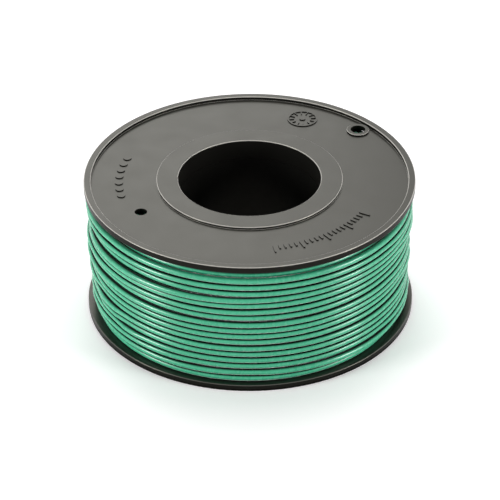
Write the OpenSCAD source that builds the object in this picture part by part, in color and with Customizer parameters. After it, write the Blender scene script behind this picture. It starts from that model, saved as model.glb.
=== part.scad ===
// Wire spool: two moulded flanges, a ribbed core between them, and one insulated
// copper wire wound on the core in layers. The spool stands on its lower flange.
// Origin at the middle of the bottom face, +Z along the spool's axis.

/* [Spool] */
// Diameter of both flanges
flange_d = 160; // [158:1:200]
// Height over the two flanges
spool_h = 70; // [40:1:120]
// Diameter of the bore that takes a reel stand's arbor
bore_d = 69; // [50:1:72]

/* [Flange] */
// Thickness of the raised outer rim
rim_t = 3.4; // [3:0.1:5]
// Radial width of the raised outer rim
rim_w = 3.4; // [2.5:0.1:6]
// Thickness of the thin web between rim and hub ring
web_t = 1.6; // [1.2:0.1:2]
// How far the hub ring's face lies below the rim's
hub_drop = 0.5; // [0:0.1:0.8]
// How far the hub ring reaches outside the core's barrel
hub_lip = 1; // [0.8:0.1:3]
// Radius of the rounded edges of rim, hub ring and bore
edge_r = 0.5; // [0.3:0.1:0.8]
// Radius of the small fillets where the web meets a wall
root_r = 0.3; // [0.1:0.1:0.5]
// Depth of the bore sleeve, from the outer face towards the core
sleeve_depth = 11; // [6:0.5:15]
// Wall of the bore sleeve, and of the core's inner tube
sleeve_wall = 2.2; // [1.5:0.1:2.4]

/* [Holes] */
// Diameter of the plain hole in the web
web_hole_d = 6; // [4:0.1:8]
// Distance of the plain hole's centre from the flange's edge
web_hole_inset = 21; // [18:0.5:26]
// Direction of the plain hole, as an angle from +X
web_hole_angle = -151; // [-180:1:180]
// Diameter of the hole in the boss, which takes the wire's free end
tail_hole_d = 7.3; // [4:0.1:8]
// Diameter of the boss around that hole
boss_d = 11.2; // [10:0.1:12]
// Height of the boss above the web
boss_rise = 0.9; // [0.5:0.1:1.2]
// Gap between the boss and the rim's inner wall
boss_rim_gap = 0.6; // [0.6:0.1:2]
// Direction of the boss, as an angle from +X
tail_hole_angle = 40; // [-180:1:180]

/* [Moulded marks] */
// How far the marks stand out of the web
mark_rise = 0.45; // [0.2:0.05:0.6]
// Radius of the circle that the marks lie on
mark_circle_r = 63; // [58:0.5:66]
// Number of ticks in the graduated row
tick_count = 21; // [5:1:31]
// Distance between ticks along the mark circle
tick_step = 2.7; // [1.8:0.1:3.2]
// Width of one tick
tick_w = 0.8; // [0.5:0.1:1.2]
// Length of a short tick
tick_short = 3; // [2:0.1:4]
// Length of every fifth tick
tick_long = 5.5; // [4:0.1:7]
// Outer diameter of the mould date dial
dial_d = 15; // [8:0.5:18]
// Number of hour ticks on the dial
dial_ticks = 12; // [4:1:16]
// Number of round pips in the pip row
pip_count = 7; // [1:1:9]
// Diameter of one pip
pip_d = 4; // [1.5:0.1:4.3]
// Distance between pips along the mark circle
pip_step = 5.8; // [4.5:0.1:7]

/* [Core] */
// Outer diameter of the barrel that the wire is wound on
barrel_d = 88; // [84:1:90]
// Wall of the barrel
barrel_wall = 2.5; // [1.5:0.1:3]
// Depth of the flange groove that the barrel's end sits in
socket_depth = 1.6; // [1:0.1:2.2]
// Number of ribs between the barrel and the inner tube
rib_count = 12; // [4:1:24]
// Thickness of one rib
rib_t = 1.6; // [1:0.1:3]
// How far the ribs stop short of the inner tube's ends
rib_inset = 1.5; // [0.5:0.1:5]
// Width of the slot that holds the wire's inner end
start_slot_w = 4; // [3.8:0.1:6]

/* [Wire] */
// Outer diameter of the insulated wire
wire_d = 3.4; // [3:0.1:3.5]
// Diameter of the copper conductor
conductor_d = 1.8; // [1:0.1:2]
// Number of layers wound on the core
layer_count = 11; // [2:1:11]
// Direction of the wire's free end, as an angle from +X
wire_end_angle = 70; // [0:1:359]
// Angle left open in the outer layer's last turn, counted on from the free end
end_gap_angle = 42; // [5:1:180]

/* [Clearances] */
// Clearance around the barrel's end in the flange groove
socket_gap = 0.1; // [0.05:0.05:0.2]
// Gap between the flange sleeve and the core's inner tube
sleeve_gap = 0.2; // [0.1:0.05:0.5]
// Gap between wound layers, and between the first layer and the barrel
layer_gap = 0.04; // [0.02:0.01:0.1]
// Depth by which neighbouring turns of one layer press into each other
turn_press = 0.02; // [0.01:0.01:0.05]

/* [Hidden] */
$fn = 96;
// Segments of each rounded corner in an outline
corner_steps = 5;
// Depth by which raised features are rooted in the body below
root_depth = 0.4;
// Depth by which cutters pass through a face
over = 1;
// Sides of a buried turn's section, which its neighbours press flat all round
pressed_sides = 12;

flange_r = flange_d / 2;
bore_r = bore_d / 2;
barrel_r = barrel_d / 2;
barrel_in_r = barrel_r - barrel_wall;
barrel_low = rim_t - socket_depth + socket_gap;
tube_low = sleeve_depth + sleeve_gap;
rib_low = tube_low + rib_inset;
// Half way between two ribs
start_slot_angle = 180 / rib_count;
hub_r = barrel_r + hub_lip;
rim_in_r = flange_r - rim_w;
sleeve_r = bore_r + sleeve_wall;
inner_w = spool_h - 2 * rim_t;

tail_hole_r = rim_in_r - boss_rim_gap - boss_d / 2;
web_hole_r = flange_r - web_hole_inset;

pitch = wire_d - turn_press;
layer_step = sqrt(pow(wire_d + layer_gap, 2) - pow(pitch / 2, 2));
first_layer_r = barrel_r + layer_gap + wire_d / 2;
turns = floor(inner_w / pitch - 0.5);
side_gap = (inner_w - (turns + 0.5) * pitch - turn_press) / 2;
first_turn_z = rim_t + side_gap + wire_d / 2;

tick_angle = tick_step / mark_circle_r * 180 / PI;
pip_angle = pip_step / mark_circle_r * 180 / PI;
// The three groups of marks lie in the sectors that the holes leave free
tick_row_middle = -55;
dial_middle = 65;
pip_row_middle = 177;

function layer_name(i) = str("wire_layer_", i < 10 ? "0" : "", i);

function unit(v) = v / norm(v);
function flat(p) = [p.x, p.y];

// Points of one outline corner at p, rounded with radius r between neighbours a and b
function corner(a, p, b, r) =
    r == 0 ? [p] :
    let (
        to_a = unit(a - p),
        to_b = unit(b - p),
        half = acos(to_a * to_b) / 2,
        centre = p + unit(to_a + to_b) * r / sin(half),
        start = p + to_a * r / tan(half) - centre,
        turned = cross(to_a, to_b) > 0 ? half * 2 - 180 : 180 - half * 2
    )
    [for (i = [0:corner_steps]) centre + rotated(start, turned * i / corner_steps)];

function rotated(v, a) = [v.x * cos(a) - v.y * sin(a), v.x * sin(a) + v.y * cos(a)];

// Outline through [x, y, corner radius] points
function rounded(path) = [
    for (i = [0:len(path) - 1])
        each corner(
            flat(path[(i + len(path) - 1) % len(path)]),
            flat(path[i]),
            flat(path[(i + 1) % len(path)]),
            path[i][2]
        )
];

// Section of a flange, drawn with its inner face at z = 0 and its outer face at rim_t
module flange_section() {
    polygon(rounded([
        [bore_r, rim_t - sleeve_depth, 0],
        [sleeve_r, rim_t - sleeve_depth, 0],
        [sleeve_r, 0, root_r],
        [barrel_in_r - socket_gap, 0, 0],
        [barrel_in_r - socket_gap, socket_depth, 0],
        [barrel_r + socket_gap, socket_depth, 0],
        [barrel_r + socket_gap, 0, 0],
        [flange_r, 0, edge_r],
        [flange_r, rim_t, edge_r],
        [rim_in_r, rim_t, edge_r],
        [rim_in_r, web_t, root_r],
        [hub_r, web_t, root_r],
        [hub_r, rim_t - hub_drop, edge_r],
        [bore_r, rim_t - hub_drop, edge_r]
    ]));
}

// Places a feature on the web's outer surface, out at radius r in direction a
module on_web(a, r) {
    rotate([0, 0, a])
        translate([r, 0, web_t])
            children();
}

module raised_bar(length, width) {
    translate([-length / 2, -width / 2, -root_depth])
        cube([length, width, root_depth + mark_rise]);
}

module raised_disc(d) {
    translate([0, 0, -root_depth])
        cylinder(h = root_depth + mark_rise, d = d);
}

// Graduated row of ticks, every fifth one long, all standing on one circle
module tick_row() {
    for (i = [0:tick_count - 1]) {
        length = i % 5 == 0 ? tick_long : tick_short;
        on_web(tick_row_middle + (i - (tick_count - 1) / 2) * tick_angle, mark_circle_r)
            translate([(length - tick_long) / 2, 0, 0])
                raised_bar(length, tick_w);
    }
}

// Ring with ticks inside it and a pip in the middle
module date_dial() {
    on_web(dial_middle, mark_circle_r) {
        difference() {
            raised_disc(dial_d);
            cylinder(h = 4 * over, d = dial_d - 2 * tick_w, center = true);
        }
        for (i = [0:dial_ticks - 1])
            rotate([0, 0, i * 360 / dial_ticks])
                translate([dial_d / 2 - tick_w - dial_d / 12, 0, 0])
                    raised_bar(dial_d / 6, tick_w / 2);
        raised_disc(dial_d / 5);
    }
}

module pip_row() {
    for (i = [0:pip_count - 1])
        on_web(pip_row_middle + (i - (pip_count - 1) / 2) * pip_angle, mark_circle_r)
            raised_disc(pip_d);
}

module hole(a, r, d) {
    rotate([0, 0, a])
        translate([r, 0, -over])
            cylinder(h = rim_t + 2 * over, d = d);
}

// Low round boss with an eased upper edge
module boss() {
    on_web(tail_hole_angle, tail_hole_r)
        rotate_extrude()
            polygon(rounded([
                [0, -root_depth, 0],
                [boss_d / 2, -root_depth, 0],
                [boss_d / 2, boss_rise, boss_rise / 3],
                [0, boss_rise, 0]
            ]));
}

module flange() {
    color("#3a3936")
        difference() {
            union() {
                rotate_extrude()
                    flange_section();
                boss();
                tick_row();
                date_dial();
                pip_row();
            }
            hole(web_hole_angle, web_hole_r, web_hole_d);
            hole(tail_hole_angle, tail_hole_r, tail_hole_d);
        }
}

module upper_flange() {
    translate([0, 0, spool_h - rim_t])
        flange();
}

// The same moulding turned over
module lower_flange() {
    translate([0, 0, rim_t])
        rotate([180, 0, 0])
            flange();
}

module tube(r_out, r_in, z_low, z_high) {
    translate([0, 0, z_low])
        difference() {
            cylinder(h = z_high - z_low, r = r_out);
            translate([0, 0, -over])
                cylinder(h = z_high - z_low + 2 * over, r = r_in);
        }
}

// Slot in the barrel's lower end; the first turn of wire starts from it
module start_slot() {
    rotate([0, 0, start_slot_angle])
        translate([barrel_in_r - over, -start_slot_w / 2, 0])
            cube([barrel_wall + 2 * over, start_slot_w, first_turn_z + start_slot_w / 2]);
}

module ribbed_core() {
    color("#33322f") {
        difference() {
            tube(barrel_r, barrel_in_r, barrel_low, spool_h - barrel_low);
            start_slot();
        }
        tube(sleeve_r, bore_r, tube_low, spool_h - tube_low);
        for (i = [0:rib_count - 1])
            rotate([0, 0, i * 360 / rib_count])
                translate([sleeve_r - root_depth, -rib_t / 2, rib_low])
                    cube([barrel_in_r - sleeve_r + 2 * root_depth, rib_t, spool_h - 2 * rib_low]);
    }
}

function layer_r(i) = first_layer_r + (i - 1) * layer_step;
// Even layers lie half a pitch higher, in the valleys of the layer below
function turn_z(i, k) = first_turn_z + (k + (i % 2 == 0 ? 0.5 : 0)) * pitch;

// Places a turn's section at turn k of layer i
module at_turn(i, k) {
    translate([layer_r(i), turn_z(i, k)])
        children();
}

// Layer with others above it: its turns are pressed flat where they meet their neighbours
module buried_turns(i) {
    rotate_extrude()
        for (k = [0:turns - 1])
            at_turn(i, k)
                rotate(180 / pressed_sides)
                    circle(d = wire_d / cos(180 / pressed_sides), $fn = pressed_sides);
}

// Outer layer, with round turns and the last one hollow for the conductor
module outer_turns() {
    rotate_extrude()
        difference() {
            for (k = [0:turns - 1])
                at_turn(layer_count, k)
                    circle(d = wire_d);
            at_turn(layer_count, turns - 1)
                circle(d = conductor_d);
        }
}

// The wire's inner end, which runs from the first turn into the barrel's slot
module inner_end() {
    rotate([0, 0, start_slot_angle])
        translate([barrel_in_r - over, 0, first_turn_z])
            rotate([0, 90, 0])
                cylinder(h = first_layer_r - barrel_in_r + over, d = wire_d);
}

// Cutter that opens the outer layer's last turn, so that it ends in the wire's free end
module end_gap() {
    rotate([0, 0, wire_end_angle])
        rotate_extrude(angle = end_gap_angle)
            translate([layer_r(layer_count) - wire_d, turn_z(layer_count, turns - 1.5)])
                square([2 * wire_d, 2 * wire_d]);
}

module wire_layer(i) {
    color("#4b9b7d") {
        if (i < layer_count)
            buried_turns(i);
        else
            difference() {
                outer_turns();
                end_gap();
            }
        if (i == 1)
            inner_end();
    }
}

// Copper in the last turn, where it shows at the wire's free end
module copper_conductor() {
    color("#b87333")
        difference() {
            rotate_extrude()
                at_turn(layer_count, turns - 1)
                    circle(d = conductor_d);
            end_gap();
        }
}

upper_flange();
lower_flange();
ribbed_core();
copper_conductor();
for (i = [1:layer_count])
    wire_layer(i);
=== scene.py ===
"""A spool of green PVC wire: black moulded flanges, and the wire wound by a seeded simulation."""

import math

import bpy
import numpy as np
from mathutils import Matrix, Vector


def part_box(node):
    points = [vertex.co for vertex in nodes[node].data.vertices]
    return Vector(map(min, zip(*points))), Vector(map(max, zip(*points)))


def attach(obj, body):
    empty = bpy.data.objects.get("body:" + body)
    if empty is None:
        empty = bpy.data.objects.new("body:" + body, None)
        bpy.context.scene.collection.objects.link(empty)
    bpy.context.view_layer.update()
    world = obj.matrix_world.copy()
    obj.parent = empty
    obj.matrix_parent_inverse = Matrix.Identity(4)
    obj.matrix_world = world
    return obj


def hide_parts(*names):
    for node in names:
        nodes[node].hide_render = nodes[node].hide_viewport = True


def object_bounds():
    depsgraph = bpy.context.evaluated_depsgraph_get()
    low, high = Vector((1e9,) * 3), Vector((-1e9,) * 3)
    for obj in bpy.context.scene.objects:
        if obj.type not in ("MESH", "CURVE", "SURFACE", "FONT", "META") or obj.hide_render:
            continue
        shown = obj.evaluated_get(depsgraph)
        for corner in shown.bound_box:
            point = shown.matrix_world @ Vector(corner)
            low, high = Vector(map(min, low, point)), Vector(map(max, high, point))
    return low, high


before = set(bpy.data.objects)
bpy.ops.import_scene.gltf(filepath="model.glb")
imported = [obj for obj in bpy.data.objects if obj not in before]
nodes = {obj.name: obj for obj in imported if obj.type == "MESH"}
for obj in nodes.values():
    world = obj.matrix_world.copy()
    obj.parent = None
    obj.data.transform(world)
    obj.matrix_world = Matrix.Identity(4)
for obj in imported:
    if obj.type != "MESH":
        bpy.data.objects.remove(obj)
cad_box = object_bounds()

# ---------------------------------------------------------------- sizes, in metres

MM = 0.001
SPOOL_H = cad_box[1][2]
RIM_T = 3.4 * MM
WIRE_R = 1.7 * MM
COPPER_R = 0.9 * MM
# The outer turns are drawn a little slimmer, so that they show clear gaps
STRAND_R = 1.57 * MM
STRAND_SIDES = 14
COPPER_SIDES = 16
# Turns side by side in one layer of the CAD
TURNS = 18
# The CAD layers that the simulated wire replaces
SIM_LAYERS = (9, 10, 11)


def layer_name(i):
    return f"wire_layer_{i:02d}"


# ---------------------------------------------------------------- winding simulation

# The CAD layer that the simulated wire is wound on
BASE_LOW, BASE_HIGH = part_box(layer_name(SIM_LAYERS[0] - 1))
BASE_FIRST_Z = BASE_LOW[2] + WIRE_R
BASE_PITCH = (BASE_HIGH[2] - BASE_LOW[2] - 2 * WIRE_R) / (TURNS - 1)
# Slack with which the wound wire lies on that layer halfway up, and how much it grows from the
# bottom to the top
SLACK = 0.3 * MM
LEAN = 1.3 * MM
BASE_RADIUS = BASE_HIGH[0] - WIRE_R + SLACK

SEED = 5
# The wire is laid in this many straight steps per turn
STEPS = 120
# Room between the wire and a flange
END_GAP = 0.05 * MM
Z_LOW = RIM_T + WIRE_R + END_GAP
Z_HIGH = SPOOL_H - Z_LOW
# The insulation gives a little where strands press on each other
SQUEEZE = 0.2 * MM
CONTACT_D = 2 * WIRE_R - SQUEEZE
# The guide moves this far per turn
LAY_PITCH = 3.5 * MM
# The guide runs past the flanges before it turns back, so the wire lies a turn along each
OVERRUN = 1.7 * MM
# Turns that a simulated layer has room for, with those laid while the guide runs past the flanges
MOST_TURNS = TURNS + 2
# How far the wire strays from the guide, and over how many steps
WANDER = 0.6 * MM
WANDER_STEPS = 70
# Changes of height within this many steps are smoothed away by the wire's stiffness
STIFF_STEPS = 10
# The smoothing reaches this many times as far to each side
KERNEL_REACH = 3
# Changes of height that are tried at each step
REACH = np.linspace(-0.4, 0.4, 17) * MM
# Cost of lying away from the guide, and of a change of slope
PULL = 0.5 / MM
SIDE = 1.0 / MM
# Share of a change of height that the slope takes on at each step
SLOPE_SHARE = 0.2
# Strands that climb past this radius are pushed back down beside their neighbours
CLIMB_LIMIT = 76.3 * MM
CLIMB = 20 / MM
# Rounds in which the wire is pulled tight, a little more in each
TAUT_ROUNDS = 400
# Azimuth at which the wire is cut, found to within little more than a step
WIRE_END_ANGLE = math.radians(70)
END_TOLERANCE = 1.01 * math.tau / STEPS


def smooth_noise(rng, count, spacing):
    """Noise that changes smoothly over `spacing` steps."""
    knots = rng.standard_normal(count // spacing + 2)
    at = np.arange(count) / spacing
    i = at.astype(int)
    f = at - i
    f = f * f * (3 - 2 * f)
    return knots[i] * (1 - f) + knots[i + 1] * f


def gaussian(steps):
    reach = KERNEL_REACH * steps
    w = np.exp(-0.5 * (np.arange(-reach, reach + 1) / steps) ** 2)
    return w / w.sum()


def lean(z):
    """How much further out the wire lies at height z than halfway up."""
    return LEAN * (z / SPOOL_H - 0.5)


def resting_radius(z, laid_z, laid_r):
    """Least radius at which a strand at each height z clears the strands already laid there."""
    dz = z[:, None] - laid_z[None, :]
    room = CONTACT_D**2 - dz**2
    over = np.where(room > 0, laid_r[None, :] + np.sqrt(np.maximum(room, 0)), 0)
    return np.maximum(over.max(1), BASE_RADIUS + lean(z))


def next_height(z, slope, goal, laid_z, laid_r):
    """Height of the next step: low over the strands laid there, near the goal, without a kink."""
    tries = np.clip(z + REACH, Z_LOW, Z_HIGH)
    rest = resting_radius(tries, laid_z, laid_r)
    cost = rest + CLIMB * np.maximum(rest - CLIMB_LIMIT - lean(tries), 0) ** 2
    cost += PULL * (tries - goal) ** 2 + SIDE * (tries - z - slope) ** 2
    return tries[int(np.argmin(cost))]


def pull_taut(radius, before):
    """The taut wire spans hollows in a straight line from bump to bump."""
    r = np.concatenate([[before], radius])
    low = r.copy()
    c = math.cos(math.tau / STEPS)
    for _ in range(TAUT_ROUNDS):
        r[1:-1] = np.maximum(low[1:-1], 2 * r[:-2] * r[2:] * c / (r[:-2] + r[2:]))
    return r[1:]


def wind():
    """Lays the wire turn by turn over the base layer; returns its azimuth, radius and height."""
    layers = len(SIM_LAYERS)
    rng = np.random.default_rng(SEED)
    wander = WANDER * smooth_noise(rng, layers * MOST_TURNS * STEPS, WANDER_STEPS)
    kernel = gaussian(STIFF_STEPS)
    edge = KERNEL_REACH * STIFF_STEPS

    # Height and radius of each strand at each step, the base layer's first
    laid_z = np.zeros((STEPS, TURNS + layers * MOST_TURNS))
    laid_r = np.zeros_like(laid_z)
    laid_z[:, :TURNS] = BASE_FIRST_Z + np.arange(TURNS) * BASE_PITCH
    laid_r[:, :TURNS] = BASE_RADIUS + lean(laid_z[:, :TURNS])
    laid = TURNS

    # Odd layers go up
    up = 1 if SIM_LAYERS[0] % 2 else -1
    guide = Z_LOW if up > 0 else Z_HIGH
    z = guide
    slope = 0.0
    layer = 0
    steps_done = 0
    before = np.full(edge, z)
    heights, radii = [], []
    while layer < layers:
        turn = []
        for step in range(STEPS):
            guide += up * LAY_PITCH / STEPS
            if not Z_LOW - OVERRUN < guide < Z_HIGH + OVERRUN:
                up = -up
                layer += 1
                if layer == layers:
                    break
            goal = min(max(guide + wander[steps_done + step], Z_LOW), Z_HIGH)
            best = next_height(z, slope, goal, laid_z[step, :laid], laid_r[step, :laid])
            slope += SLOPE_SHARE * (best - z - slope)
            z = best
            turn.append(z)
        if len(turn) < STEPS:
            break
        padded = np.concatenate([before, turn, np.full(edge, z)])
        before = padded[STEPS:STEPS + edge]
        turn = np.clip(np.convolve(padded, kernel, "valid"), Z_LOW, Z_HIGH)
        radius = np.array([
            resting_radius(turn[step:step + 1], laid_z[step, :laid], laid_r[step, :laid])[0]
            for step in range(STEPS)
        ])
        radius = pull_taut(radius, radii[-1][-1] if radii else radius[0])
        laid_z[:, laid] = turn
        laid_r[:, laid] = radius
        laid += 1
        heights.append(turn)
        radii.append(radius)
        steps_done += STEPS
    heights = np.concatenate(heights)
    radii = np.concatenate(radii)
    azimuth = np.arange(len(heights)) * math.tau / STEPS
    last = len(azimuth) - 1
    while (azimuth[last] - WIRE_END_ANGLE) % math.tau > END_TOLERANCE:
        last -= 1
    return azimuth[:last + 1], radii[:last + 1], heights[:last + 1]


# ---------------------------------------------------------------- meshes


def new_object(name, verts, faces, smooth=True):
    mesh = bpy.data.meshes.new(name)
    mesh.from_pydata([tuple(v) for v in verts], [], faces)
    mesh.update()
    mesh.polygons.foreach_set("use_smooth", [smooth] * len(mesh.polygons))
    obj = bpy.data.objects.new(name, mesh)
    bpy.context.scene.collection.objects.link(obj)
    return obj


def tube_mesh(path, radius, sides):
    """Vertices and faces of a round tube along path, closed at both ends."""
    tangent = np.gradient(path, axis=0)
    tangent /= np.linalg.norm(tangent, axis=1, keepdims=True)
    outward = path * [1, 1, 0]
    outward -= tangent * (outward * tangent).sum(1, keepdims=True)
    outward /= np.linalg.norm(outward, axis=1, keepdims=True)
    across = np.cross(tangent, outward)
    angle = np.arange(sides) * math.tau / sides
    ring = outward[:, None] * np.cos(angle)[:, None] + across[:, None] * np.sin(angle)[:, None]
    verts = (path[:, None] + radius * ring).reshape(-1, 3)
    faces = []
    for i in range(len(path) - 1):
        a, b = i * sides, (i + 1) * sides
        faces += [(a + j, a + (j + 1) % sides, b + (j + 1) % sides, b + j) for j in range(sides)]
    faces.append(tuple(range(sides))[::-1])
    faces.append(tuple(range((len(path) - 1) * sides, len(path) * sides)))
    return verts, faces


def points(azimuth, radius, height):
    return np.stack([radius * np.cos(azimuth), radius * np.sin(azimuth), height], axis=1)


# ---------------------------------------------------------------- shader nodes

AO_SAMPLES = 16
# Most of a noise texture's values lie in this range
NOISE_RANGE = (0.3, 0.7)


def linear(value):
    """Linear value of a 0-255 screen value."""
    return ((value / 255 + 0.055) / 1.055) ** 2.4 if value > 10 else value / 255 / 12.92


def srgb(r, g, b):
    """Linear colour of a colour given in 0-255 screen values."""
    return (linear(r), linear(g), linear(b), 1)


class Shader:
    """The node tree of a new material or world, under construction."""

    def __init__(self, owner, output):
        owner.use_nodes = True
        self.owner = owner
        self.tree = owner.node_tree
        self.tree.nodes.clear()
        self.out = self.add(output)

    def add(self, kind, settings=None, **inputs):
        node = self.tree.nodes.new(kind)
        for key, value in (settings or {}).items():
            setattr(node, key, value)
        for key, value in inputs.items():
            self.put(node, key.replace("_", " "), value)
        return node

    def put(self, node, key, value):
        """Sets or links an input, which is given by its name or as # and its index."""
        socket = node.inputs[int(key[1:])] if key[0] == "#" else node.inputs[key]
        if isinstance(value, bpy.types.NodeSocket):
            self.tree.links.new(value, socket)
        else:
            socket.default_value = value

    def noise(self, scale, detail):
        """Noise texture with `scale` features per metre."""
        where = self.add("ShaderNodeTexCoord").outputs["Object"]
        node = self.add("ShaderNodeTexNoise", Vector=where, Scale=scale, Detail=detail)
        return node.outputs["Fac"]

    def ramp(self, fac, low, high, out_low=0.0, out_high=1.0):
        """Takes low to out_low and high to out_high, and stays within those."""
        return self.add(
            "ShaderNodeMapRange", Value=fac,
            From_Min=low, From_Max=high, To_Min=out_low, To_Max=out_high,
        ).outputs["Result"]

    def patchy(self, noise, values):
        """A value that goes between two with a noise texture."""
        return self.ramp(self.noise(*noise), *NOISE_RANGE, *values)

    def blend(self, fac, a, b):
        node = self.add("ShaderNodeMix", {"data_type": "RGBA"})
        for index, value in ((0, fac), (6, a), (7, b)):
            self.put(node, f"#{index}", value)
        return node.outputs[2]

    def bump(self, noise, strength, distance):
        return self.add(
            "ShaderNodeBump", Strength=strength, Distance=distance, Height=self.noise(*noise),
        ).outputs["Normal"]

    def math(self, operation, *values):
        node = self.add("ShaderNodeMath", {"operation": operation})
        for index, value in enumerate(values):
            self.put(node, f"#{index}", value)
        return node.outputs[0]

    def upward(self):
        """Height component of the surface's direction: 1 facing up, 0 on an upright wall."""
        normal = self.add("ShaderNodeNewGeometry").outputs["Normal"]
        return self.add("ShaderNodeSeparateXYZ", Vector=normal).outputs["Z"]

    def openness(self, reach):
        """Share of the directions that are free within reach: low in a crevice."""
        settings = {"samples": AO_SAMPLES}
        return self.add("ShaderNodeAmbientOcclusion", settings, Distance=reach).outputs["AO"]

    def seen_directly(self):
        """1 for rays that see the backdrop: from the camera, or by reflection or refraction."""
        path = self.add("ShaderNodeLightPath").outputs
        first = self.math("MAXIMUM", path["Is Camera Ray"], path["Is Glossy Ray"])
        return self.math("MAXIMUM", first, path["Is Transmission Ray"])

    def finish(self, node):
        self.tree.links.new(node.outputs[0], self.out.inputs["Surface"])
        return self.owner


def new_shader(name):
    return Shader(bpy.data.materials.new(name), "ShaderNodeOutputMaterial")


def paint(obj, material):
    obj.data.materials.clear()
    obj.data.materials.append(material)


# ---------------------------------------------------------------- materials

# Noise textures are features per metre and detail. Other pairs are the range of the upward
# component or of the openness over which an effect sets in, or the two values that a result goes
# between.

FLANGE_DARK = (0.0062, 0.0060, 0.0052, 1)
FLANGE_LIGHT = (0.0080, 0.0077, 0.0067, 1)
CORE_DARK = (0.006, 0.006, 0.0052, 1)
CORE_LIGHT = (0.009, 0.0088, 0.0078, 1)
# Light grey painted on free, upward-facing edges as a highlight
ABS_PAINTED_HIGHLIGHT = (0.48, 0.465, 0.43, 1)
ABS_REFLECTION = (1, 0.968, 0.8, 1)
ABS_IOR = 1.46
ABS_MOTTLE = (35, 3)
ABS_ROUGH = (0.29, 0.35)
ABS_ROUGH_NOISE = (90, 4)
ABS_GRAIN = (2600, 2)
ABS_GRAIN_STRENGTH = 0.1
ABS_GRAIN_DEPTH = 0.05 * MM
# How far a wall has to be from what stands next to it to count as free
WALL_REACH = 2 * MM
# Painted highlights go on edges that are free and face upward at a slant, neither level nor
# sideways
EDGE_NOT_UPRIGHT = (0.25, 0.5)
EDGE_NOT_LEVEL = (0.99, 0.85)
EDGE_FREE = (0.7, 0.9)
EDGE_SMOOTHER = 0.05
# Painted shade: upright walls get a lower specular level than level faces, and the lowest where
# something stands close to them
WALL_UPRIGHT = (0.6, 0.1)
WALL_CLOSE = (0.97, 0.8)
GLOSS_TILT = (0.1, 0.6)
GLOSS = (0.1, 0.49)
CLOSE_WALL_GLOSS = 0.1
# How strongly the painted edge highlights show: fully on the upper flange, faintly on the lower
# one and the core
EDGE_HIGHLIGHT_UPPER = 1.0
EDGE_HIGHLIGHT_BELOW = 0.15


def moulded_abs(name, dark, light, edge_highlight):
    """Satin black ABS: fine grain, slow gloss changes, upward edges painted light as a highlight,
    side walls dulled as painted shade.
    """
    s = new_shader(name)
    up = s.upward()
    tilt = s.math("ABSOLUTE", up)
    free = s.openness(WALL_REACH)
    edge = s.math("MULTIPLY", s.ramp(up, *EDGE_NOT_UPRIGHT), s.ramp(up, *EDGE_NOT_LEVEL))
    edge = s.math("MULTIPLY", edge, s.ramp(free, *EDGE_FREE, 0, edge_highlight))
    # Painted highlight: the edges found above are painted light grey
    colour = s.blend(edge, s.blend(s.noise(*ABS_MOTTLE), dark, light), ABS_PAINTED_HIGHLIGHT)
    rough = s.patchy(ABS_ROUGH_NOISE, ABS_ROUGH)
    rough = s.math("SUBTRACT", rough, s.math("MULTIPLY", edge, EDGE_SMOOTHER))
    # Painted shade: the specular level is lowered on upright walls, most in crevices
    wall = s.math("MULTIPLY", s.ramp(tilt, *WALL_UPRIGHT), s.ramp(free, *WALL_CLOSE))
    shine = s.ramp(tilt, *GLOSS_TILT, *GLOSS)
    gloss = s.math("MULTIPLY", shine, s.ramp(wall, 0, 1, 1, CLOSE_WALL_GLOSS))
    return s.finish(s.add(
        "ShaderNodeBsdfPrincipled", Base_Color=colour, Roughness=rough, IOR=ABS_IOR,
        Normal=s.bump(ABS_GRAIN, ABS_GRAIN_STRENGTH, ABS_GRAIN_DEPTH),
        Specular_IOR_Level=gloss, Specular_Tint=ABS_REFLECTION,
    ))


PVC_DARK = srgb(55, 167, 126)
PVC_LIGHT = srgb(67, 182, 140)
# Near-black green painted where strands meet and on their upper sides, as shade
PVC_PAINTED_SHADE = srgb(2, 14, 9)
PVC_IOR = 1.53
PVC_MOTTLE = (140, 3)
PVC_ROUGH = (0.24, 0.3)
PVC_ROUGH_NOISE = (400, 3)
PVC_LINES = (300, 2)
PVC_LINE_STRENGTH = 0.03
PVC_LINE_DEPTH = 0.06 * MM
PVC_GLOSS = 0.5
PVC_SHEEN = 0.8
PVC_SHEEN_ROUGH = 0.3
CREVICE_REACH = 2 * MM
# Painted shade on a strand's upper side, which lies in the shade of the strand above it
UNDERCUT_SHADE = 0.62
# The colour goes from the painted crevice shade to the unshaded one over this range of openness,
# less that painted shade
PVC_OPEN = (0.1, 0.65)


def green_pvc(name):
    """Extruded PVC insulation: even colour, soft gloss, faint drawing lines, painted shade in
    crevices and on strands' upper sides.
    """
    s = new_shader(name)
    unshaded = s.blend(s.noise(*PVC_MOTTLE), PVC_DARK, PVC_LIGHT)
    shade = s.math("MULTIPLY", s.upward(), UNDERCUT_SHADE)
    # Painted shade: darker and less glossy in crevices and on upward-facing sides
    lit = s.ramp(s.math("SUBTRACT", s.openness(CREVICE_REACH), shade), *PVC_OPEN)
    return s.finish(s.add(
        "ShaderNodeBsdfPrincipled", Base_Color=s.blend(lit, PVC_PAINTED_SHADE, unshaded), IOR=PVC_IOR,
        Roughness=s.patchy(PVC_ROUGH_NOISE, PVC_ROUGH),
        Normal=s.bump(PVC_LINES, PVC_LINE_STRENGTH, PVC_LINE_DEPTH),
        Sheen_Weight=PVC_SHEEN, Sheen_Roughness=PVC_SHEEN_ROUGH,
        Specular_IOR_Level=s.ramp(lit, 0, 1, 0, PVC_GLOSS),
    ))


COPPER_DARK = srgb(196, 116, 76)
COPPER_LIGHT = srgb(222, 146, 104)
COPPER_MOTTLE = (900, 3)
COPPER_ROUGH = (0.22, 0.38)
COPPER_ROUGH_NOISE = (2500, 3)


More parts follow.
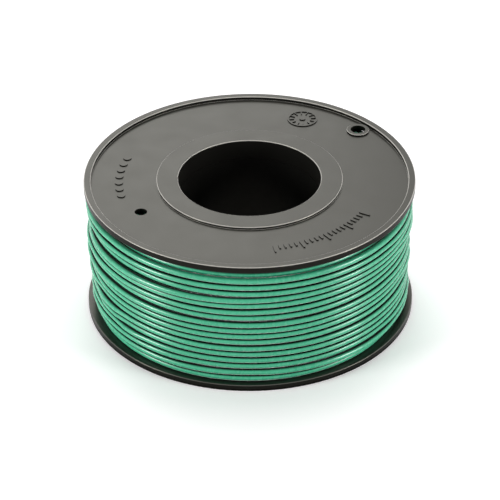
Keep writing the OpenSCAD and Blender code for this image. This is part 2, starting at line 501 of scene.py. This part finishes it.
def drawn_copper(name):
    s = new_shader(name)
    colour = s.blend(s.noise(*COPPER_MOTTLE), COPPER_DARK, COPPER_LIGHT)
    rough = s.patchy(COPPER_ROUGH_NOISE, COPPER_ROUGH)
    return s.finish(s.add(
        "ShaderNodeBsdfPrincipled", Base_Color=colour, Roughness=rough, Metallic=1.0,
    ))


# ---------------------------------------------------------------- stage, camera and light

WHITE = (1, 1, 1, 1)

# The spool is seen from the front, from about 33 degrees above the table
CAMERA_AWAY = 1150 * MM
CAMERA_UP = 777.8 * MM
CAMERA_PITCH = math.radians(33.12)
CAMERA_ROLL = math.radians(-0.38)
CLIP_START = 0.01
FOCAL_PX = 2799.6
IMAGE_PX = 500
# The only length in millimetres, as Blender has it
SENSOR_MM = 36


def make_camera():
    data = bpy.data.cameras.new("camera")
    data.sensor_width = SENSOR_MM
    data.lens = FOCAL_PX / IMAGE_PX * SENSOR_MM
    data.clip_start = CLIP_START
    camera = bpy.data.objects.new("camera", data)
    pitch = Matrix.Rotation(math.pi / 2 - CAMERA_PITCH, 4, "X")
    roll = Matrix.Rotation(CAMERA_ROLL, 4, "Z")
    camera.matrix_world = Matrix.Translation((0, -CAMERA_AWAY, CAMERA_UP)) @ (pitch @ roll)
    bpy.context.scene.collection.objects.link(camera)
    bpy.context.scene.camera = camera


FLOOR_HALF = 4.0
PAPER = (0.912, 0.885, 0.895, 1)
# Light that the floor adds where it is seen, which the object doesn't get
FLOOR_LIFT = 0.3


def make_floor():
    h = FLOOR_HALF
    corners = [(-h, -h, 0), (h, -h, 0), (h, h, 0), (-h, h, 0)]
    floor = new_object("floor", corners, [(0, 1, 2, 3)], smooth=False)
    s = new_shader("white_paper")
    paper = s.add("ShaderNodeBsdfDiffuse", Color=PAPER)
    strength = s.math("MULTIPLY", s.seen_directly(), FLOOR_LIFT)
    lift = s.add("ShaderNodeEmission", Color=WHITE, Strength=strength)
    both = s.add("ShaderNodeAddShader")
    s.put(both, "#0", paper.outputs[0])
    s.put(both, "#1", lift.outputs[0])
    paint(floor, s.finish(both))


# The world is white where it is seen, and lights the object with this strength
AMBIENT = 0.06


def make_world():
    s = Shader(bpy.data.worlds.new("studio"), "ShaderNodeOutputWorld")
    strength = s.ramp(s.seen_directly(), 0, 1, AMBIENT, 1)
    world = s.finish(s.add("ShaderNodeBackground", Color=WHITE, Strength=strength))
    bpy.context.scene.world = world


# Each softbox: its place, its width and height in metres, and its power in watts
SOFTBOXES = {
    "left_softbox": ((-1.45, -0.6, 0.4), (0.5, 0.55), 22),
    "right_softbox": ((1.45, -0.6, 0.4), (0.5, 0.55), 20),
    "top_softbox": ((0.0, 0.5, 1.35), (0.9, 0.9), 13),
    "back_softbox": ((-0.35, 1.2, 0.87), (1.0, 0.55), 4.1),
}


def make_lights():
    middle = Vector((0, 0, SPOOL_H / 2))
    for name, (place, size, power) in SOFTBOXES.items():
        data = bpy.data.lights.new(name, "AREA")
        data.shape = "RECTANGLE"
        data.size, data.size_y = size
        data.energy = power
        lamp = bpy.data.objects.new(name, data)
        lamp.location = place
        lamp.rotation_euler = (middle - Vector(place)).to_track_quat("-Z", "Y").to_euler()
        bpy.context.scene.collection.objects.link(lamp)


# ---------------------------------------------------------------- the object

# The copper is drawn in the wire's last steps only, and stands proud by this share of a step
COPPER_STEPS = 3
COPPER_PROUD = 0.1


def build_wire(pvc, copper):
    azimuth, radius, height = wind()
    path = points(azimuth, radius, height)
    wire = new_object("wound_wire", *tube_mesh(path, STRAND_R, STRAND_SIDES))
    paint(wire, pvc)
    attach(wire, "root")
    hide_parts(*[layer_name(i) for i in SIM_LAYERS])
    end = path[-COPPER_STEPS - 1:] + (path[-1] - path[-2]) * COPPER_PROUD
    core = new_object("wire_end_copper", *tube_mesh(end, COPPER_R, COPPER_SIDES))
    paint(core, copper)
    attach(core, "root")
    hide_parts("copper_conductor")
    turns = len(azimuth) / STEPS
    print(f"wound {turns:.1f} turns, radius {radius.mean() / MM:.2f}, top {radius.max() / MM:.2f}")


def main():
    make_camera()
    make_floor()
    make_world()
    make_lights()
    upper = moulded_abs("upper_flange_abs", FLANGE_DARK, FLANGE_LIGHT, EDGE_HIGHLIGHT_UPPER)
    lower = moulded_abs("lower_flange_abs", FLANGE_DARK, FLANGE_LIGHT, EDGE_HIGHLIGHT_BELOW)
    core = moulded_abs("core_abs", CORE_DARK, CORE_LIGHT, EDGE_HIGHLIGHT_BELOW)
    pvc = green_pvc("wire_pvc")
    paint(nodes["upper_flange"], upper)
    paint(nodes["lower_flange"], lower)
    paint(nodes["ribbed_core"], core)
    for i in range(1, SIM_LAYERS[0]):
        paint(nodes[layer_name(i)], pvc)
    build_wire(pvc, drawn_copper("bare_copper"))
    bpy.context.scene.view_settings.view_transform = "Standard"


main()
